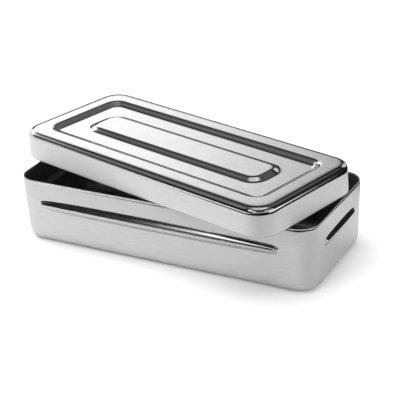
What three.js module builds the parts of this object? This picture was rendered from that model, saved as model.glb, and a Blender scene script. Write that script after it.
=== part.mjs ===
// Steel sterilization box: a deep-drawn tray with beads pressed in its walls, and a pressed lid
// that lies turned on the tray's rim, as when it has just been put down there.
// Millimetres, +Z up. The origin is the middle of the tray's underside, +X runs along the tray.
import * as THREE from "three";

// Tray: outside sizes at the rim
const trayLength = 178;
const trayWidth = 75;
const trayHeight = 37.5;
const traySheet = 0.7;
const trayCornerRadius = 11;
const wallLean = 1.1; // how far each wall leans in on its way down
const baseRadius = 6; // outside radius between the walls and the underside

// Beads pressed outwards in the four walls: the closed lid's lower edge stops on them
const beadDrop = 13.9; // from the rim down to a bead's centre line
const longBeadHalfHeight = 3.7; // in the middle of a bead, which draws together towards its tips
const longBeadRise = 2.5;
const shortBeadHalfHeight = 2.8;
const shortBeadRise = 1.9;
const longBeadEndGap = 16.5; // from the tray's end to the tip of a bead on a long wall
const shortBeadEndGap = 17.5; // the same on a short wall

// Lid: its skirt goes over the tray's rim with a running gap
const lidSheet = 0.7;
const lidGap = 1; // between the tray's rim and the inside of the skirt's lower edge
const skirtHeight = 12.1;
const skirtLean = 0.5; // how far the skirt leans in on its way up
const shoulderDrop = 3.8; // height of the rounded edge between the skirt and the top
const shoulderWidth = 4.6; // its width, seen from above

// Pressed pattern in the lid's top: a border, a sunk channel and a raised middle panel
const borderWidth = 12.2; // from the skirt's lower edge, outside, to the edge of the channel
const channelDepth = 2.25;
const channelBankRun = 3.05; // width of the channel's outer bank, seen from above
const channelCornerRadius = 7.6;
const channelFloorWidth = 11.6;
const panelRise = 1.95;
const panelBankRun = 2.7; // width of the panel's bank, seen from above
const panelCornerRadius = 8.6; // at the foot of the panel's bank
const panelMargin = 2; // flat stretch inside the panel's edge, where the edge's rounding ends
const pressRadius = 4; // rounding along every pressed edge

// How the lid lies on the rim
const lidTurn = THREE.MathUtils.degToRad(-15);
const lidShiftX = -6;
const lidShiftY = 4;
const restGap = 0.3; // between the rim and the lid's lower edge

// Steps of the curved stretches
const cornerSteps = 8;
const baseSteps = 5;
const beadFlankSteps = 4;
const beadCrestSteps = 5;
const shoulderSteps = 8;
const pressSteps = 3;

// Shape of a bead: powers of its outline and of its arch, the share of its half height that its
// crest takes up, and the shares of its half length where the wall's rings get points
const beadOutlinePower = 2.5;
const beadTaperPower = 0.3;
const beadArchPower = 1.2;
const beadCrestShare = 0.6;
const beadStationShares = [0.35, 0.6, 0.78, 0.9, 0.96, 0.99, 1];

const lidCornerRadius = trayCornerRadius + lidGap + lidSheet;
const lidLength = trayLength + 2 * (lidGap + lidSheet);
const lidWidth = trayWidth + 2 * (lidGap + lidSheet);

// Samples a profile curve, drawn as inset from the outside (x) and height (y). Each sample keeps
// the direction across the sheet, away from the shown face, so that both faces can be made.
function sampleProfile(stretches) {
  const samples = [];
  for (const [curve, steps] of stretches) {
    for (let i = samples.length ? 1 : 0; i <= steps; i++) {
      const point = curve.getPoint(i / steps);
      const along = curve.getTangent(i / steps);
      samples.push({ inset: point.x, height: point.y, across: new THREE.Vector2(along.y, -along.x) });
    }
  }
  return samples;
}

// Straight lines through the given points, with every corner between them rounded by one radius.
function roundedProfile(points, radius, lineSteps = 1) {
  const stretches = [];
  let from = points[0];
  for (let i = 1; i < points.length - 1; i++) {
    const corner = points[i];
    const inwards = corner.clone().sub(points[i - 1]).normalize();
    const outwards = points[i + 1].clone().sub(corner).normalize();
    const cut = radius * Math.tan(inwards.angleTo(outwards) / 2);
    const start = corner.clone().addScaledVector(inwards, -cut);
    const end = corner.clone().addScaledVector(outwards, cut);
    stretches.push([new THREE.LineCurve(from, start), lineSteps]);
    stretches.push([new THREE.QuadraticBezierCurve(start, corner, end), pressSteps]);
    from = end;
  }
  stretches.push([new THREE.LineCurve(from, points.at(-1)), lineSteps]);
  return stretches;
}

// A rectangle with round corners, walked anticlockwise. Stations are extra points on the long and
// short sides, measured from the middle of the side. Each point tells its side and its place on it.
function roundedOutline(halfLength, halfWidth, radius, longStations = [], shortStations = []) {
  const points = [];
  const straightX = halfLength - radius;
  const straightY = halfWidth - radius;
  const corners = [
    [straightX, straightY],
    [-straightX, straightY],
    [-straightX, -straightY],
    [straightX, -straightY],
  ];
  corners.forEach(([x, y], quarter) => {
    for (let i = 0; i <= cornerSteps; i++) {
      const angle = (Math.PI / 2) * (quarter + i / cornerSteps);
      points.push({ x: x + radius * Math.cos(angle), y: y + radius * Math.sin(angle) });
    }
    const ahead = new THREE.Vector2(0, 1).rotateAround(new THREE.Vector2(), (Math.PI / 2) * (quarter + 1));
    const onLongSide = quarter % 2 === 0;
    const outwards = new THREE.Vector2(ahead.y, -ahead.x);
    const reach = onLongSide ? halfWidth : halfLength;
    for (const along of onLongSide ? longStations : shortStations) {
      points.push({
        x: outwards.x * reach + ahead.x * along,
        y: outwards.y * reach + ahead.y * along,
        outwards,
        onLongSide,
        along,
      });
    }
  });
  return points;
}

// Skins a stack of rings into one closed solid: neighbouring rings are joined by a band of
// triangles, and the first and last ring are closed by a fan round their middle.
function closedLoft(rings) {
  const size = rings[0].length;
  const positions = [];
  const indices = [];
  for (const ring of rings) ring.forEach((p) => positions.push(p.x, p.y, p.z));
  for (let r = 0; r + 1 < rings.length; r++) {
    for (let i = 0; i < size; i++) {
      const next = (i + 1) % size;
      const [a, b, c, d] = [r * size + i, r * size + next, (r + 1) * size + next, (r + 1) * size + i];
      indices.push(a, b, c, a, c, d);
    }
  }
  const closeWithFan = (ring, start, reversed) => {
    const middle = positions.length / 3;
    positions.push(0, 0, ring[0].z);
    for (let i = 0; i < size; i++) {
      const edge = [start + i, start + ((i + 1) % size)];
      if (reversed) edge.reverse();
      indices.push(middle, edge[1], edge[0]);
    }
  };
  closeWithFan(rings[0], 0, false);
  closeWithFan(rings.at(-1), (rings.length - 1) * size, true);
  const geometry = new THREE.BufferGeometry();
  geometry.setAttribute("position", new THREE.Float32BufferAttribute(positions, 3));
  geometry.setIndex(indices);
  geometry.computeVertexNormals();
  return geometry;
}

// The rings of both faces of a sheet whose profile was sampled from its middle out to its edge.
function sheetFaces(samples, thickness, ringAt) {
  const shown = samples.map(({ inset, height }) => ringAt(inset, height));
  const hidden = samples.map(({ inset, height, across }) =>
    ringAt(inset + across.x * thickness, height + across.y * thickness),
  );
  return { shown, hidden };
}

// Places on one side where the rings need points so that a bead's tips come out round.
function beadStations(halfLength) {
  const ahead = beadStationShares.map((share) => share * halfLength);
  const behind = ahead.map((along) => -along).reverse();
  return [...behind, 0, ...ahead];
}

function makeTray() {
  const longBeadHalf = trayLength / 2 - longBeadEndGap;
  const shortBeadHalf = trayWidth / 2 - shortBeadEndGap;
  const beadMiddle = trayHeight - beadDrop;
  const leanAt = (height) => wallLean * (1 - height / trayHeight);

  // How far the wall stands out at a height and at a place along a side
  const beadAt = (height, point) => {
    if (point.along === undefined) return 0;
    const [half, halfHeight, rise] = point.onLongSide
      ? [longBeadHalf, longBeadHalfHeight, longBeadRise]
      : [shortBeadHalf, shortBeadHalfHeight, shortBeadRise];
    const grown = Math.max(1 - Math.abs(point.along / half) ** beadOutlinePower, 0) ** beadTaperPower;
    const reach = halfHeight * grown;
    const off = Math.abs(height - beadMiddle);
    if (off >= reach) return 0;
    return rise * grown * (1 - (off / reach) ** 2) ** beadArchPower;
  };

  const ringAt = (inset, height) =>
    roundedOutline(
      trayLength / 2 - inset,
      trayWidth / 2 - inset,
      trayCornerRadius - inset,
      beadStations(longBeadHalf),
      beadStations(shortBeadHalf),
    ).map((p) => {
      const out = beadAt(height, p);
      const [dx, dy] = out ? [p.outwards.x * out, p.outwards.y * out] : [0, 0];
      return new THREE.Vector3(p.x + dx, p.y + dy, height);
    });

  const onWall = (height) => new THREE.Vector2(leanAt(height), height);
  const wallFoot = onWall(baseRadius);
  const band = Math.max(longBeadHalfHeight, shortBeadHalfHeight);
  const crest = band * beadCrestShare;
  const beadFoot = onWall(beadMiddle - band);
  const crestFoot = onWall(beadMiddle - crest);
  const crestTop = onWall(beadMiddle + crest);
  const beadTop = onWall(beadMiddle + band);
  const foot = new THREE.EllipseCurve(
    wallFoot.x + baseRadius, baseRadius, baseRadius, baseRadius, -Math.PI / 2, -Math.PI, true,
  );
  const samples = sampleProfile([
    [foot, baseSteps],
    [new THREE.LineCurve(wallFoot, beadFoot), 1],
    [new THREE.LineCurve(beadFoot, crestFoot), beadFlankSteps],
    [new THREE.LineCurve(crestFoot, crestTop), beadCrestSteps],
    [new THREE.LineCurve(crestTop, beadTop), beadFlankSteps],
    [new THREE.LineCurve(beadTop, onWall(trayHeight)), 1],
  ]);
  const { shown, hidden } = sheetFaces(samples, traySheet, ringAt);
  return closedLoft([...shown, ...hidden.reverse()]);
}

function makeLid() {
  const top = skirtHeight + shoulderDrop;
  const shoulderInset = skirtLean + shoulderWidth;
  const channelFoot = borderWidth + channelBankRun;
  const panelFoot = channelFoot + channelFloorWidth;
  const panelEdge = panelFoot + panelBankRun;
  const channelLevel = top - channelDepth;

  // Corner radius of the outline at each inset: true offsets on the slopes, blended on the flats
  const radiusKnots = [
    [0, lidCornerRadius],
    [shoulderInset, lidCornerRadius - shoulderInset],
    [borderWidth, channelCornerRadius],
    [channelFoot, channelCornerRadius - channelBankRun],
    [panelFoot, panelCornerRadius],
    [panelEdge, panelCornerRadius - panelBankRun],
  ];
  const radiusAt = (inset) => {
    const after = radiusKnots.findIndex(([knot]) => knot > inset);
    if (after === 0) return lidCornerRadius - inset;
    if (after < 0) return radiusKnots.at(-1)[1];
    const [[i0, r0], [i1, r1]] = [radiusKnots[after - 1], radiusKnots[after]];
    return THREE.MathUtils.mapLinear(inset, i0, i1, r0, r1);
  };
  const ringAt = (inset, height) =>
    roundedOutline(lidLength / 2 - inset, lidWidth / 2 - inset, radiusAt(inset)).map(
      (p) => new THREE.Vector3(p.x, p.y, height),
    );

  const at = (inset, height) => new THREE.Vector2(inset, height);
  const pattern = roundedProfile(
    [
      at(shoulderInset, top),
      at(borderWidth, top),
      at(channelFoot, channelLevel),
      at(panelFoot, channelLevel),
      at(panelEdge, channelLevel + panelRise),
      at(panelEdge + panelMargin, channelLevel + panelRise),
    ],
    pressRadius,
  );
  const shoulder = new THREE.QuadraticBezierCurve(
    at(skirtLean, skirtHeight), at(skirtLean, top), at(shoulderInset, top),
  );
  const fromSkirtToMiddle = sampleProfile([
    [new THREE.LineCurve(at(0, 0), at(skirtLean, skirtHeight)), 1],
    [shoulder, shoulderSteps],
    ...pattern,
  ]);
  const { shown, hidden } = sheetFaces(fromSkirtToMiddle.reverse(), lidSheet, ringAt);
  return closedLoft([...hidden, ...shown.reverse()]);
}

const steel = (color, roughness) => new THREE.MeshStandardMaterial({ color, roughness, metalness: 1 });

const tray = new THREE.Mesh(makeTray(), steel("#c6c7c6", 0.3));
tray.name = "tray";

const lid = new THREE.Mesh(makeLid(), steel("#d4d4d2", 0.18));
lid.name = "lid";
const lidPose = new THREE.Group();
lidPose.position.set(lidShiftX, lidShiftY, trayHeight + restGap);
lidPose.rotation.z = lidTurn;
lidPose.add(lid);

const box = new THREE.Group();
box.add(tray, lidPose);

export default box;
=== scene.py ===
# %% [markdown]
# # A steel sterilization box, dressed for its picture
#
# The real thing is two pressed sheets of stainless steel: a deep-drawn tray with a bead in each
# wall, and an embossed lid that lies turned on the tray's rim. Its place and its sizes are fixed
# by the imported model, so the script starts by loading that model as a frame. Everything after it
# is made in metres, in the same axes, with +X along the tray and +Z up.

import math

import bmesh
import bpy
from mathutils import Matrix, Vector


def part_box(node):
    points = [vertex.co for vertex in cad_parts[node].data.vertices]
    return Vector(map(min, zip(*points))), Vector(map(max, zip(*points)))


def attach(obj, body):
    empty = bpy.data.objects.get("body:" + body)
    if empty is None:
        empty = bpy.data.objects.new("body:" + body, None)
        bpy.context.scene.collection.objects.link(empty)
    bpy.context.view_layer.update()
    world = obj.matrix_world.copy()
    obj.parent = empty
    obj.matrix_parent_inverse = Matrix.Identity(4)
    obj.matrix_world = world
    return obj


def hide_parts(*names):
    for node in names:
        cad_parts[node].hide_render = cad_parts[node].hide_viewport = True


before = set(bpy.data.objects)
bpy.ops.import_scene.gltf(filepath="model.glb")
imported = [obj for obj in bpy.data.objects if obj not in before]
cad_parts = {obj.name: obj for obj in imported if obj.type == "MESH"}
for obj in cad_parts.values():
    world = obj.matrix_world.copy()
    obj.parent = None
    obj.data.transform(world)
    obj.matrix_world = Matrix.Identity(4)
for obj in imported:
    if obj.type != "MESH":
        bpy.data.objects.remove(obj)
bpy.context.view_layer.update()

# %% [markdown]
# ## The camera
#
# A picture fixes where its camera stood. The edges of the tray and the lid were matched with a
# pinhole camera: it looks along the tray from the front right corner, 25.7 degrees above the
# table, tilted by 3 degrees, and it stands 70 cm away behind a lens of 112 mm. The turns are
# applied in this order: roll round the lens's axis, tip up from the vertical, swing round.

# %% Place the camera
mm = 0.001
degree = math.pi / 180
camera_azimuth = 28.86 * degree
camera_elevation = 25.67 * degree
camera_roll = -3.09 * degree
camera_distance = 697.5 * mm
camera_offset_right = 4.5 * mm
camera_offset_up = 20.4 * mm
camera_lens = 112.1  # millimetres of focal length, as Blender wants it, on a sensor of 36 mm

turned = (
    Matrix.Rotation(camera_azimuth, 4, "Z")
    @ Matrix.Rotation(math.pi / 2 - camera_elevation, 4, "X")
    @ Matrix.Rotation(camera_roll, 4, "Z")
)
camera = bpy.data.objects.new("camera", bpy.data.cameras.new("camera"))
camera.data.lens = camera_lens
camera.data.clip_start = 10 * mm
camera_place = (camera_offset_right, camera_offset_up, camera_distance)
camera.matrix_world = turned @ Matrix.Translation(camera_place)
bpy.context.scene.collection.objects.link(camera)
bpy.context.scene.camera = camera
print("camera at", tuple(round(v, 3) for v in camera.matrix_world.translation))

# %% [markdown]
# ## Pressing sheet metal
#
# A press shop starts from a flat blank and pushes it into shape. The script does the same. The
# blank is one flat face with round corners: a grid of a single cell whose four corners are
# bevelled. `inset_region` then works as the press: it takes the face in by some width and lifts or
# lowers it at the same time, which leaves a ring of wall behind. Even offset keeps the corner arcs
# concentric, just as they are on a drawn part.

# %% Blank and press
corner_steps = 10
half_side = 0.5  # create_grid measures from its middle, so this gives a square of 1 x 1


def blank(bm, length, width, radius, height, long_cuts, short_cuts):
    """A flat face with round corners, and with extra points along its straight sides."""
    others = set(bm.faces)
    verts = bmesh.ops.create_grid(bm, x_segments=1, y_segments=1, size=half_side)["verts"]
    bmesh.ops.scale(bm, vec=(length, width, 1), verts=verts)
    bmesh.ops.translate(bm, vec=(0, 0, height), verts=verts)
    bmesh.ops.bevel(
        bm, geom=verts, affect="VERTICES", offset=radius, offset_type="OFFSET",
        segments=corner_steps, profile=0.5, material=-1,
    )
    (face,) = set(bm.faces) - others
    # Sorted by length, the straight sides come last: the two short ones, then the two long ones.
    sides = sorted(face.edges, key=lambda edge: edge.calc_length())[-4:]
    for side, cuts in zip(sides, (short_cuts, short_cuts, long_cuts, long_cuts)):
        bmesh.ops.subdivide_edges(bm, edges=[side], cuts=cuts)
    return face


def press(bm, face, path):
    """Takes the face in and up along a path of (inset, height) points, one ring a step."""
    for (inset, height), (next_inset, next_height) in zip(path, path[1:]):
        bmesh.ops.inset_region(
            bm, faces=[face], use_boundary=True, use_even_offset=True,
            thickness=next_inset - inset, depth=next_height - height,
        )


def straight(start, end, steps):
    """Points on a line, without its first one."""
    return [tuple(Vector(start).lerp(Vector(end), i / steps)) for i in range(1, steps + 1)]


def bend(start, end, corner, steps):
    """Points on a smooth bend that heads for the corner, without its first one."""
    start, end, corner = Vector(start), Vector(end), Vector(corner)
    shares = [i / steps for i in range(1, steps + 1)]
    return [tuple(start.lerp(corner, t).lerp(corner.lerp(end, t), t)) for t in shares]


print("a corner has", corner_steps, "steps")

# %% [markdown]
# ## The tray
#
# The tray is drawn in one stroke: a thin wall that leans in by a millimetre on its way down, a
# foot with a 6 mm bend, and a flat floor. The path below goes down the outside face. Extra rings
# cross the band where the beads will be, because a shape can only be as fine as the mesh that
# carries it. They crowd towards the band's two edges, where the bead leaves the wall in a tight
# bend: a cosine does that spacing.

# %% Draw the tray
sheet = 0.7 * mm
tray_length = 178 * mm
tray_width = 75 * mm
tray_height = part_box("tray")[1].z
tray_corner = 11 * mm
wall_lean = 1.1 * mm
base_radius = 6 * mm
bead_drop = 13.9 * mm
bead_middle = tray_height - bead_drop
long_bead_half_height = 3.7 * mm
upper_rings, bead_rings, lower_rings, foot_rings = 3, 20, 4, 6
tray_long_cuts, tray_short_cuts = 32, 10


def wall_point(height):
    """A point of the wall's profile: its inset from the rim's outline, and its height."""
    return (wall_lean * (1 - height / tray_height), height)


def crowded(start, end, steps):
    """Points on a line that crowd towards both ends, without its first one."""
    shares = [(1 - math.cos(math.pi * i / steps)) / 2 for i in range(1, steps + 1)]
    return [tuple(Vector(start).lerp(Vector(end), share)) for share in shares]


bead_top = wall_point(bead_middle + long_bead_half_height)
bead_bottom = wall_point(bead_middle - long_bead_half_height)
foot_top = wall_point(base_radius)
foot_end = (foot_top[0] + base_radius, 0)
foot_corner = (wall_point(0)[0], 0)
tray_path = (
    [wall_point(tray_height)]
    + straight(wall_point(tray_height), bead_top, upper_rings)
    + crowded(bead_top, bead_bottom, bead_rings)
    + straight(bead_bottom, foot_top, lower_rings)
    + bend(foot_top, foot_end, foot_corner, foot_rings)
    + straight(foot_end, (foot_end[0] + sheet, 0), 1)
)
tray_mesh = bmesh.new()
tray_face = blank(
    tray_mesh, tray_length, tray_width, tray_corner, tray_height, tray_long_cuts, tray_short_cuts,
)
print("tray blank has", len(tray_face.verts), "corners; the path has", len(tray_path), "rings")

# %% [markdown]
# ## The beads
#
# A bead is a long swelling that a second tool pushes out of the wall. It stiffens the wall, and
# the closed lid's edge stops on it. Seen from the front its outline is a superellipse: nearly
# straight edges that draw together slowly, and round tips. Across, it is an arc that meets the
# wall in a tight bend. The wall's own points are moved outwards by that swell, so the inside of
# the wall follows when it gets its thickness.
#
# The tips need more points than the straight stretch does. The blank still is one flat face, so
# this is the moment to split the edges of its outline near the tips. Every ring pressed later
# repeats them.

# %% Push out the beads
long_bead_rise = 2.5 * mm
tip_stretch = 12 * mm  # length of a bead, at each tip, that gets extra points
tip_margin = 3 * mm  # how far they go on beyond the tip
tip_cuts = 5
outline_power = 2.5  # how late a bead's outline starts to close
taper_power = 0.2  # how blunt its tips are
arch_power = 1.2  # how softly it meets the wall
long_bead_half = 72 * mm
long_bead_offset = -2 * mm  # the picture shows the long bead a little to the left of the middle
short_bead_half = 20 * mm
short_bead_half_height = 2.8 * mm
short_bead_rise = 1.9 * mm
straight_x = tray_length / 2 - tray_corner
straight_y = tray_width / 2 - tray_corner


def near_tip(along, half):
    return half - tip_stretch < abs(along) < half + tip_margin


def crosses_tip(edge):
    """Whether an edge of the blank lies where a bead's tip will be."""
    middle = (edge.verts[0].co + edge.verts[1].co) / 2
    on_long_side = abs(middle.y) > straight_y and abs(middle.x) < straight_x
    on_short_side = abs(middle.x) > straight_x and abs(middle.y) < straight_y
    return (on_long_side and near_tip(middle.x - long_bead_offset, long_bead_half)) or (
        on_short_side and near_tip(middle.y, short_bead_half)
    )


for edge in [edge for edge in tray_face.edges if crosses_tip(edge)]:
    bmesh.ops.subdivide_edges(tray_mesh, edges=[edge], cuts=tip_cuts)
press(tray_mesh, tray_face, tray_path)
bmesh.ops.reverse_faces(tray_mesh, faces=tray_mesh.faces[:])


def bead_swell(height, along, half, half_height, rise):
    """How far a bead stands out of the wall at a height and at a place along the side."""
    grown = max(1 - abs(along / half) ** outline_power, 0) ** taper_power
    off = abs(height - bead_middle)
    if off >= half_height * grown:
        return 0
    return rise * grown * (1 - (off / half_height / grown) ** 2) ** arch_power


for vert in tray_mesh.verts:
    x, y, z = vert.co
    if abs(x) < straight_x:
        out = Vector((0, math.copysign(1, y), 0)) * bead_swell(
            z, x - long_bead_offset, long_bead_half, long_bead_half_height, long_bead_rise,
        )
    elif abs(y) < straight_y:
        out = Vector((math.copysign(1, x), 0, 0)) * bead_swell(
            z, y, short_bead_half, short_bead_half_height, short_bead_rise,
        )
    else:
        continue
    if out.length:
        bmesh.ops.translate(tray_mesh, vec=out, verts=[vert])
print("tray faces:", len(tray_mesh.faces))
print("the long beads stand out by", round(long_bead_rise / mm, 2), "mm")

# %% [markdown]
# ## From face to sheet
#
# So far there is only the outside face. `solidify` gives it the sheet's thickness on its inner
# side, and one level of subdivision rounds every step of the bends, the cut edge of the rim
# included, which on the real box is ground so that it can't cut a finger.

# %% Give a face its thickness


def finish_sheet(name, bm, body, node):
    """Turns the pressed face into a sheet that stands for its CAD node."""
    # The last face still has an edge for each point of its outline. Quads subdivide more evenly.
    widest = max(bm.faces, key=lambda face: len(face.verts))
    pieces = bmesh.ops.triangulate(bm, faces=[widest], ngon_method="BEAUTY")["faces"]
    bmesh.ops.join_triangles(
        bm, faces=pieces, angle_face_threshold=math.pi, angle_shape_threshold=math.pi,
    )
    bmesh.ops.solidify(bm, geom=bm.faces[:], thickness=sheet)
    # solidify makes the rim in an order that changes from run to run, so the parts are sorted.
    bm.verts.index_update()
    for parts in (bm.edges, bm.faces):
        in_order = sorted(parts, key=lambda part: sorted(vert.index for vert in part.verts))
        for index, part in enumerate(in_order):
            part.index = index
        parts.sort()
    mesh = bpy.data.meshes.new(name)
    bm.to_mesh(mesh)
    bm.free()
    mesh.shade_smooth()
    piece = bpy.data.objects.new(name, mesh)
    bpy.context.scene.collection.objects.link(piece)
    rounded = piece.modifiers.new("rounded", "SUBSURF")
    rounded.levels = rounded.render_levels = 1
    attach(piece, body)
    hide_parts(node)
    print(name, "has", len(mesh.polygons), "faces before subdivision")
    return piece


tray_piece = finish_sheet("drawn_tray", tray_mesh, "tray", "tray")

# %% [markdown]
# ## The lid
#
# The lid is pressed upwards from its lower edge: a skirt that leans in slightly, a rounded
# shoulder, and a flat border. The pattern in its top has corners of its own, which are rounder
# than an offset of the skirt would give. So the channel and the middle panel start from blanks of
# their own size, and `bridge_loops` joins their outlines with flat strips.

# %% Press the lid
lid_gap = 1 * mm
lid_length = tray_length + 2 * (lid_gap + sheet)
lid_width = tray_width + 2 * (lid_gap + sheet)
lid_corner = tray_corner + lid_gap + sheet
lid_low, lid_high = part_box("lid")
lid_height = lid_high.z - lid_low.z
skirt_lean = 0.5 * mm
shoulder_drop = 3.8 * mm
shoulder_width = 4.6 * mm
border_width = 12.2 * mm
channel_depth = 2.25 * mm
channel_bank = 3.05 * mm
channel_corner = 7.6 * mm
channel_floor = 11.6 * mm
panel_rise = 1.95 * mm
panel_bank = 2.7 * mm
panel_corner = 8.6 * mm
press_radius = 1.3 * mm
support_share = 0.2  # place of a bend's support points, as a share of its radius
skirt_rings, shoulder_rings, press_rings = 4, 8, 3
edge_flat = 2 * press_radius  # flat metal before a pressed edge
channel_flat, panel_flat = 3 * press_radius, 2.5 * press_radius  # and after it
lid_long_cuts, lid_short_cuts = 20, 8


def rounded_steps(points, radius):
    """A path through the points whose inner corners are bends, each between support points."""
    path = [tuple(points[0])]
    for before, corner, after in zip(points, points[1:], points[2:]):
        corner = Vector(corner)
        start = corner + (Vector(before) - corner).normalized() * radius
        end = corner + (Vector(after) - corner).normalized() * radius
        path.append(tuple(start + (start - corner) * support_share))
        path += [tuple(start)] + bend(start, end, corner, press_rings)
        path.append(tuple(end + (end - corner) * support_share))
    return path + [tuple(points[-1])]


shoulder_start = (skirt_lean, lid_height - shoulder_drop)
shoulder_end = (skirt_lean + shoulder_width, lid_height)
skirt_path = (
    [(0, 0)]
    + straight((0, 0), shoulder_start, skirt_rings)
    + bend(shoulder_start, shoulder_end, (skirt_lean, lid_height), shoulder_rings)
)
channel_level = lid_height - channel_depth
channel_foot = border_width + channel_bank
panel_foot = channel_foot + channel_floor
panel_edge = panel_foot + panel_bank
panel_level = channel_level + panel_rise


def outline_at(inset):
    """Length and width of the lid's outline when it is taken in by an inset."""
    return (lid_length - 2 * inset, lid_width - 2 * inset)


lid_mesh = bmesh.new()
skirt = blank(lid_mesh, *outline_at(0), lid_corner, 0, lid_long_cuts, lid_short_cuts)
press(lid_mesh, skirt, skirt_path)


def join_pressed(outer, inner):
    """Opens the outer face and joins its edge to the inner blank's edge with a flat strip."""
    rims = [edge for face in (outer, inner) for edge in face.edges]
    bmesh.ops.delete(lid_mesh, geom=[outer], context="FACES_ONLY")
    bmesh.ops.bridge_loops(lid_mesh, edges=rims)


border_edge = border_width - edge_flat
channel_path = rounded_steps(
    [
        (border_edge, lid_height),
        (border_width, lid_height),
        (channel_foot, channel_level),
        (channel_foot + channel_flat, channel_level),
    ],
    press_radius,
)
channel = blank(
    lid_mesh, *outline_at(border_edge), channel_corner + border_width - border_edge,
    lid_height, lid_long_cuts, lid_short_cuts,
)
join_pressed(skirt, channel)
press(lid_mesh, channel, channel_path)

panel_start = panel_foot - edge_flat
panel_path = rounded_steps(
    [
        (panel_start, channel_level),
        (panel_foot, channel_level),
        (panel_edge, panel_level),
        (panel_edge + panel_flat, panel_level),
    ],
    press_radius,
)
panel = blank(
    lid_mesh, *outline_at(panel_start), panel_corner + panel_foot - panel_start,
    channel_level, lid_long_cuts, lid_short_cuts,
)
join_pressed(channel, panel)
press(lid_mesh, panel, panel_path)
print("lid faces:", len(lid_mesh.faces))

# %% [markdown]
# The lid was pressed round the origin. It lies on the tray as the frame says: turned clockwise by
# 15 degrees, shifted, and a hair above the rim.

# %% Lay the lid on the rim
lid_turn = -15 * degree
lid_middle = (lid_low + lid_high) / 2
lid_shifted = Matrix.Translation((lid_middle.x, lid_middle.y, lid_low.z))
lid_turned = Matrix.Rotation(lid_turn, 4, "Z")
bmesh.ops.transform(lid_mesh, verts=lid_mesh.verts[:], matrix=lid_shifted @ lid_turned)
lid_piece = finish_sheet("pressed_lid", lid_mesh, "lid", "lid")

# %% [markdown]
# ## Steel
#
# Stainless steel has no colour of its own. What shows is the room, a little darker and blurred by
# the marks of rolling and polishing. The upright walls were left satin, and everything that the
# press tools rubbed on, from the shoulder and the pattern to the beads, shines. So the roughness
# follows the slope of the surface: the z of its normal, which doesn't change when the piece is
# moved. On the tray a face that leans either way shines, except at the foot and on the ground edge
# of the rim. On the lid only a face that looks up does, so that the hem stays satin.
#
# A satin wall also scatters light, which a pure mirror never does. So the walls get a metallic
# value below one, and the rest of their light comes from the lamps, as on grey paint.
#
# A point is on the outside where its place and its normal both lead away from the middle of the
# tray's underside: their dot product is then the distance to the surface, and on the inside it is
# negative. The inside is rougher, and painted shade darkens its colour towards grey.
#
# Three noises keep the steel from looking computed: fine grain from rolling, soft clouds from
# wiping hands, and wide, shallow waves, because no pressed sheet is quite flat.

# %% Steel material


def math_node(tree, operation, *values):
    """A Math node whose inputs are numbers or other nodes' outputs."""
    node = tree.nodes.new("ShaderNodeMath")
    node.operation = operation
    for socket, value in zip(node.inputs, values):
        if isinstance(value, (int, float)):
            socket.default_value = value
        else:
            tree.links.new(value, socket)
    return node.outputs[0]


def ramp(tree, value, low, high, low_result=0, high_result=1, shape="SMOOTHSTEP"):
    """Maps a value between low and high onto another range, smoothly and clamped."""
    node = tree.nodes.new("ShaderNodeMapRange")
    node.interpolation_type = shape
    ends = {"From Min": low, "From Max": high, "To Min": low_result, "To Max": high_result}
    for name, end in ends.items():
        node.inputs[name].default_value = end
    tree.links.new(value, node.inputs["Value"])
    return node.outputs["Result"]


def mix_numbers(tree, share, first, second):
    """A number between two others."""
    return ramp(tree, share, 0, 1, first, second, "LINEAR")


def mix_colours(tree, share, first, second):
    """A colour between two others, which are numbers or other nodes' outputs."""
    node = tree.nodes.new("ShaderNodeMix")
    node.data_type = "RGBA"
    tree.links.new(share, node.inputs["Factor"])
    first_socket, second_socket, result = 6, 7, 2  # places of a Mix node's colour sockets
    for socket, colour in ((first_socket, first), (second_socket, second)):
        if isinstance(colour, tuple):
            node.inputs[socket].default_value = (*colour, 1)
        else:
            tree.links.new(colour, node.inputs[socket])
    return node.outputs[result]


def noise(tree, coordinates, scale, stretch=(1, 1, 1), detail=2):
    """Noise in object coordinates, which are metres; stretch squeezes it along an axis."""
    mapping = tree.nodes.new("ShaderNodeMapping")
    mapping.inputs["Scale"].default_value = stretch
    tree.links.new(coordinates, mapping.inputs["Vector"])
    texture = tree.nodes.new("ShaderNodeTexNoise")
    texture.inputs["Scale"].default_value = scale
    texture.inputs["Detail"].default_value = detail
    tree.links.new(mapping.outputs[0], texture.inputs["Vector"])
    return texture.outputs["Fac"]


def parts_of(tree, vector):
    """The X, Y and Z of a vector."""
    node = tree.nodes.new("ShaderNodeSeparateXYZ")
    tree.links.new(vector, node.inputs[0])
    return node.outputs


upright = 0.05  # z of the normal up to which a wall is satin all over
rubbed = 0.09  # z of the normal from which the press tools have polished it
foot_edge, rim_edge = 1 * mm, 1 * mm / 3  # soft edges of the satin foot and rim
inside_below, outside_above = 10 * mm, 15 * mm  # distances from the underside's middle
grain_scale, grain_stretch, grain_height = 1500, (0.1, 0.1, 1), 0.002 * mm
cloud_scale = 60
wave_scale, wave_height = 30, 0.06 * mm
noise_low, noise_high = 0.3, 0.7  # nearly all of a noise lies between these
cloud_change, grain_change = (0.85, 1.15), (0.9, 1.1)  # factors on the roughness
grain_weight, cloud_weight = 0.6, 0.4  # in the pattern of the colour
darker, lighter = 0.95, 1.05  # factors on the colour
# Painted shade for the inside: a dark grey, and how far the inside's colour is pulled towards it
inside_shade_grey, inside_shade_share = (0.1, 0.1, 0.1), 0.4  # the inside
wear_share = 0.5  # how much of the lighter colour the worn rim gets


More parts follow.
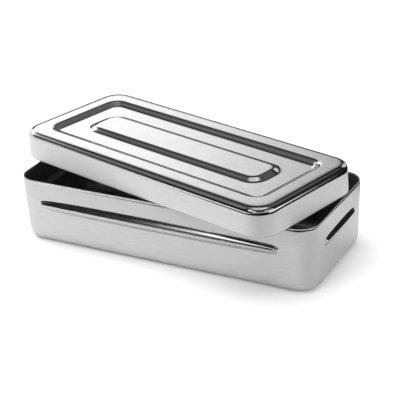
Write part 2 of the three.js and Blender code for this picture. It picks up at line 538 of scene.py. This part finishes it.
def steel(name, colour, satin, polish, wall_metallic, slope_rule, foot_height, rim_height):
    """Steel that is satin on its walls and polished where the press tools rubbed on it."""
    material = bpy.data.materials.new(name)
    material.use_nodes = True
    tree = material.node_tree
    shader = tree.nodes["Principled BSDF"]
    where = tree.nodes.new("ShaderNodeTexCoord")
    place, normal = where.outputs["Object"], where.outputs["Normal"]
    height = parts_of(tree, place)["Z"]

    distance = tree.nodes.new("ShaderNodeVectorMath")
    distance.operation = "DOT_PRODUCT"
    tree.links.new(place, distance.inputs[0])
    tree.links.new(normal, distance.inputs[1])
    outside = ramp(tree, distance.outputs["Value"], inside_below, outside_above)
    inside = math_node(tree, "SUBTRACT", 1, outside)

    slope = math_node(tree, slope_rule, parts_of(tree, normal)["Z"], 0)
    foot = ramp(tree, height, foot_height + foot_edge, foot_height)
    rim = ramp(tree, height, rim_height, rim_height + rim_edge)
    unrubbed = math_node(tree, "MAXIMUM", ramp(tree, slope, rubbed, upright), foot)
    unrubbed = math_node(tree, "MAXIMUM", unrubbed, rim)
    wall = math_node(tree, "MULTIPLY", unrubbed, outside)

    grain = noise(tree, place, grain_scale, grain_stretch)
    cloud = noise(tree, place, cloud_scale)
    waves = noise(tree, place, wave_scale)
    roughness = mix_numbers(tree, math_node(tree, "MAXIMUM", wall, inside), polish, satin)
    for pattern, change in ((cloud, cloud_change), (grain, grain_change)):
        factor = ramp(tree, pattern, noise_low, noise_high, *change)
        roughness = math_node(tree, "MULTIPLY", roughness, factor)
    tree.links.new(roughness, shader.inputs["Roughness"])
    tree.links.new(mix_numbers(tree, wall, 1, wall_metallic), shader.inputs["Metallic"])

    grain_tone = math_node(tree, "MULTIPLY", grain, grain_weight)
    cloud_tone = math_node(tree, "MULTIPLY", cloud, cloud_weight)
    tone = math_node(tree, "ADD", grain_tone, cloud_tone)
    dark, light = (tuple(part * factor for part in colour) for factor in (darker, lighter))
    tint = mix_colours(tree, ramp(tree, tone, noise_low, noise_high), dark, light)
    tint = mix_colours(tree, math_node(tree, "MULTIPLY", rim, wear_share), tint, light)
    # Painted shade: the inside, in the hollow under the lid, is pulled towards dark grey
    tint = mix_colours(tree, math_node(tree, "MULTIPLY", inside, inside_shade_share), tint, inside_shade_grey)
    tree.links.new(tint, shader.inputs["Base Color"])

    bump = tree.nodes.new("ShaderNodeBump")
    bump.inputs["Distance"].default_value = 1
    grain_relief = math_node(tree, "MULTIPLY", grain, grain_height)
    wave_relief = math_node(tree, "MULTIPLY", waves, wave_height)
    relief = math_node(tree, "ADD", grain_relief, wave_relief)
    tree.links.new(relief, bump.inputs["Height"])
    tree.links.new(bump.outputs[0], shader.inputs["Normal"])
    return material


tray_steel = steel(
    "tray_steel", colour=(0.68, 0.68, 0.67), satin=0.42, polish=0.1, wall_metallic=0.65,
    slope_rule="ABSOLUTE", foot_height=base_radius, rim_height=tray_height - sheet,
)
lid_steel = steel(
    "lid_steel", colour=(0.68, 0.68, 0.67), satin=0.6, polish=0.08, wall_metallic=0.33,
    slope_rule="MAXIMUM", foot_height=0, rim_height=lid_high.z + sheet,
)
tray_piece.data.materials.append(tray_steel)
lid_piece.data.materials.append(lid_steel)
print("materials:", tray_steel.name, "and", lid_steel.name)

# %% [markdown]
# ## The table
#
# Polished steel needs something to mirror, so the table is part of the look. The camera shall see
# plain white paper with a soft shadow. The steel shall see the paper as it lay there: greyer, with
# ends in front of the box, behind it and on its right, and with a painted shadow next to the right
# wall, a darker zone which gives the tray's front right corner its darker band. So the paper has
# two shades, and the Light Path node picks one by asking whether the ray comes from the camera.
# Far from the box, where the lamps don't reach, the shade for the camera glows, so that the paper
# ends as white as the backdrop.

# %% Paper
paper_size = 6  # metres, so that no edge of it is ever in the picture
paper_drop = 0.2 * mm  # a gap that keeps the paper and the underside apart
floor_mesh = bpy.data.meshes.new("floor")
floor_bm = bmesh.new()
bmesh.ops.create_grid(floor_bm, x_segments=1, y_segments=1, size=paper_size / 2)
bmesh.ops.translate(floor_bm, vec=(0, 0, -paper_drop), verts=floor_bm.verts[:])
floor_bm.to_mesh(floor_mesh)
floor_bm.free()
floor = bpy.data.objects.new("floor", floor_mesh)
bpy.context.scene.collection.objects.link(floor)

table_black = 0.03
mirrored_white = 0.65
# the mirrored shade inside the painted shadow next to the tray's right wall
painted_shadow_grey = 0.42
seen_white = (0.85, 0.85, 0.85)
seen_glow = 0.12
glow_near, glow_far = 300 * mm, 600 * mm

# Where the mirrored shade changes, as a place in millimetres where it starts and one where it ends
front_end, left_wing = (-130, -112), (-100, -130)
back_end, back_wing = (100, 80), (-150, -175)
right_end = (220, 190)
# Spans of the painted shadow next to the tray's right wall
zone_left, zone_right = (86, 96), (180, 150)
zone_front, zone_back = (-85, -50), (45, 20)

paper = bpy.data.materials.new("paper")
paper.use_nodes = True
tree = paper.node_tree
tree.nodes.clear()
where = tree.nodes.new("ShaderNodeTexCoord").outputs["Object"]
along, across = parts_of(tree, where)["X"], parts_of(tree, where)["Y"]


def fade_in(coordinate, span, least=0):
    """Rises smoothly to 1 over a span of places."""
    start, end = span
    return ramp(tree, coordinate, start * mm, end * mm, least, 1)


front = fade_in(across, front_end, table_black)
front = math_node(tree, "MAXIMUM", front, fade_in(along, left_wing))
back = fade_in(across, back_end, table_black)
back = math_node(tree, "MAXIMUM", back, fade_in(along, back_wing))
shade = math_node(tree, "MULTIPLY", front, back)
shade = math_node(tree, "MULTIPLY", shade, fade_in(along, right_end, table_black))
# Painted shadow: next to the right wall the mirrored shade is pulled down towards a grey
zone_along = math_node(tree, "MULTIPLY", fade_in(along, zone_left), fade_in(along, zone_right))
zone_across = math_node(tree, "MULTIPLY", fade_in(across, zone_front), fade_in(across, zone_back))
zone = math_node(tree, "MULTIPLY", zone_along, zone_across)
shade = math_node(tree, "MULTIPLY", shade, mix_numbers(tree, zone, mirrored_white, painted_shadow_grey))

mirrored = tree.nodes.new("ShaderNodeBsdfDiffuse")
tree.links.new(shade, mirrored.inputs["Color"])
lit = tree.nodes.new("ShaderNodeBsdfDiffuse")
lit.inputs["Color"].default_value = (*seen_white, 1)
away = tree.nodes.new("ShaderNodeVectorMath")
away.operation = "LENGTH"
tree.links.new(where, away.inputs[0])
glow = tree.nodes.new("ShaderNodeEmission")
glow_level = ramp(tree, away.outputs["Value"], glow_near, glow_far, seen_glow, 1)
tree.links.new(glow_level, glow.inputs["Color"])
seen = tree.nodes.new("ShaderNodeAddShader")
tree.links.new(lit.outputs[0], seen.inputs[0])
tree.links.new(glow.outputs[0], seen.inputs[1])


def choose_by_ray(tree, mirrored, seen, output):
    """Shows one shader to the steel and another to the camera."""
    chooser = tree.nodes.new("ShaderNodeMixShader")
    ray = tree.nodes.new("ShaderNodeLightPath")
    tree.links.new(ray.outputs["Is Camera Ray"], chooser.inputs[0])
    tree.links.new(mirrored.outputs[0], chooser.inputs[1])
    tree.links.new(seen.outputs[0], chooser.inputs[2])
    tree.links.new(chooser.outputs[0], output.inputs[0])


choose_by_ray(tree, mirrored, seen, tree.nodes.new("ShaderNodeOutputMaterial"))
floor_mesh.materials.append(paper)
print("paper:", paper_size, "m wide")

# %% [markdown]
# ## The room
#
# A mirror shows where things stand, so the room is drawn by direction: soft-edged patches on a
# dark sky, each with a span of azimuth, counted from +Y towards +X, and a span of elevation, both
# in degrees. A flat lid seen from azimuth 151 and 26 degrees up mirrors azimuth -29, also 26
# degrees up. So the big white sheet hangs there, and a bend in the steel looks further and further
# away from it. The gaps between the patches matter as much as the patches: they draw the dark
# lines along the shoulder and the beads. The patches behind the camera, in front of the box, on
# the back wall and on the ceiling are for a viewer who walks round the box: they let the lid look
# like steel from every side.

# %% Room
room_dark = 0.02

world = bpy.data.worlds.new("room")
bpy.context.scene.world = world
world.use_nodes = True
tree = world.node_tree
tree.nodes.clear()
direction = parts_of(tree, tree.nodes.new("ShaderNodeTexCoord").outputs["Generated"])
azimuth = math_node(tree, "ARCTAN2", direction["X"], direction["Y"])
azimuth = math_node(tree, "MULTIPLY", azimuth, 1 / degree)
elevation = math_node(tree, "ARCSINE", direction["Z"])
elevation = math_node(tree, "MULTIPLY", elevation, 1 / degree)
all_round = (-200, -190, 190, 200)


def patch(label, azimuths, elevations, strength):
    """A patch of light; each span is (dark before, full from, full to, dark after)."""
    share = strength
    for angle, span in ((azimuth, azimuths), (elevation, elevations)):
        before, full_from, full_to, after = span
        rising = ramp(tree, angle, before, full_from)
        falling = ramp(tree, angle, after, full_to)
        share = math_node(tree, "MULTIPLY", share, math_node(tree, "MULTIPLY", rising, falling))
    share.node.label = label
    return share


patches = (
    patch("white sheet, right part", (-45, -38, -38, -9), (16, 20, 21, 44), 1.52),
    patch("white sheet, middle", (-68, -62, -45, -38), (17, 22, 31, 38), 1.5),
    patch("white sheet, left part", (-95, -89, -68, -62), (17, 22, 37, 46), 1.5),
    patch("under the sheet, left", (-112, -104, -68, -62), (-4, 2, 16, 20), 1),
    patch("under the sheet, middle", (-70, -62, -52, -46), (-10, 0, 17, 22), 1.2),
    patch("under the sheet, right", (-34, -30, -30, -18), (-60, -50, 12, 17), 0.25),
    patch("left wall, low", (-124, -117, -110, -104), (-30, -20, 6, 19), 0.7),
    patch("left wall, high", (-125, -118, -95, -80), (26, 34, 50, 58), 0.2),
    patch("above the sheet, left", (-95, -88, -60, -50), (43, 47, 56, 60), 0.08),
    patch("above the sheet, right", (-15, -5, 30, 40), (40, 45, 54, 58), 0.1),
    patch("front wall", (-165, -160, -152, -147), (-10, 0, 34, 40), 0.09),
    patch("front window", (-172, -166, -148, -144), (31, 35, 42, 45), 1.6),
    patch("front window, top", (-170, -163, -143, -138), (42, 45, 49, 53), 1.6),
    patch("right window, low", (58, 62, 105, 115), (-20, -10, 13, 19), 1.3),
    patch("right window", (70, 80, 120, 130), (13, 19, 38, 46), 0.6),
    patch("back wall", (-8, 0, 14, 20), (0, 6, 30, 36), 0.8),
    patch("behind the camera", (112, 122, 167, 174), (5, 12, 26, 34), 0.35),
    patch("behind the camera, left", (167, 174, 190, 200), (5, 12, 40, 50), 0.7),
    patch("in front of the box", (-200, -190, -175, -168), (5, 12, 40, 50), 0.7),
    patch("ceiling", all_round, (54, 64, 100, 110), 0.15),
    patch("ceiling lamp", all_round, (66, 76, 100, 110), 0.6),
    patch("ceiling lamp, back right", (-10, 10, 60, 80), (62, 70, 80, 88), 0.3),
)
total = room_dark
for share in patches:
    total = math_node(tree, "ADD", total, share)

room = tree.nodes.new("ShaderNodeBackground")
tree.links.new(total, room.inputs["Color"])
white = tree.nodes.new("ShaderNodeBackground")
white.inputs["Color"].default_value = (1, 1, 1, 1)
choose_by_ray(tree, room, white, tree.nodes.new("ShaderNodeOutputWorld"))
print("room:", len(patches), "patches of light")

# %% [markdown]
# ## Lamps
#
# The room is what the steel mirrors. What lights the paper and the satin walls are three lamps: a
# wide one overhead, a little to the left, which throws the soft shadow, and two low ones from the
# front left and the right. The corner between them gets less light than the walls do. The lamps
# are hidden from mirror-like rays, so that the polished parts show the room alone.

# %% Lamps


def lamp(name, size, power, distance, turn, tip):
    """A round lamp that is tipped down from the zenith, then turned, and looks at the box."""
    light = bpy.data.objects.new(name, bpy.data.lights.new(name, "AREA"))
    light.data.shape = "DISK"
    light.data.size = size
    light.data.energy = power
    light.visible_glossy = False
    light.matrix_world = (
        Matrix.Rotation(turn * degree, 4, "Z")
        @ Matrix.Rotation(tip * degree, 4, "X")
        @ Matrix.Translation((0, 0, distance))
    )
    bpy.context.scene.collection.objects.link(light)


lamp("key", size=2.4, power=34, distance=1.4, turn=100, tip=-15)
lamp("front_fill", size=0.2, power=12, distance=1.5, turn=-32, tip=85)
lamp("right_fill", size=0.2, power=15, distance=1.5, turn=112, tip=85)
bpy.context.scene.view_settings.view_transform = "Standard"
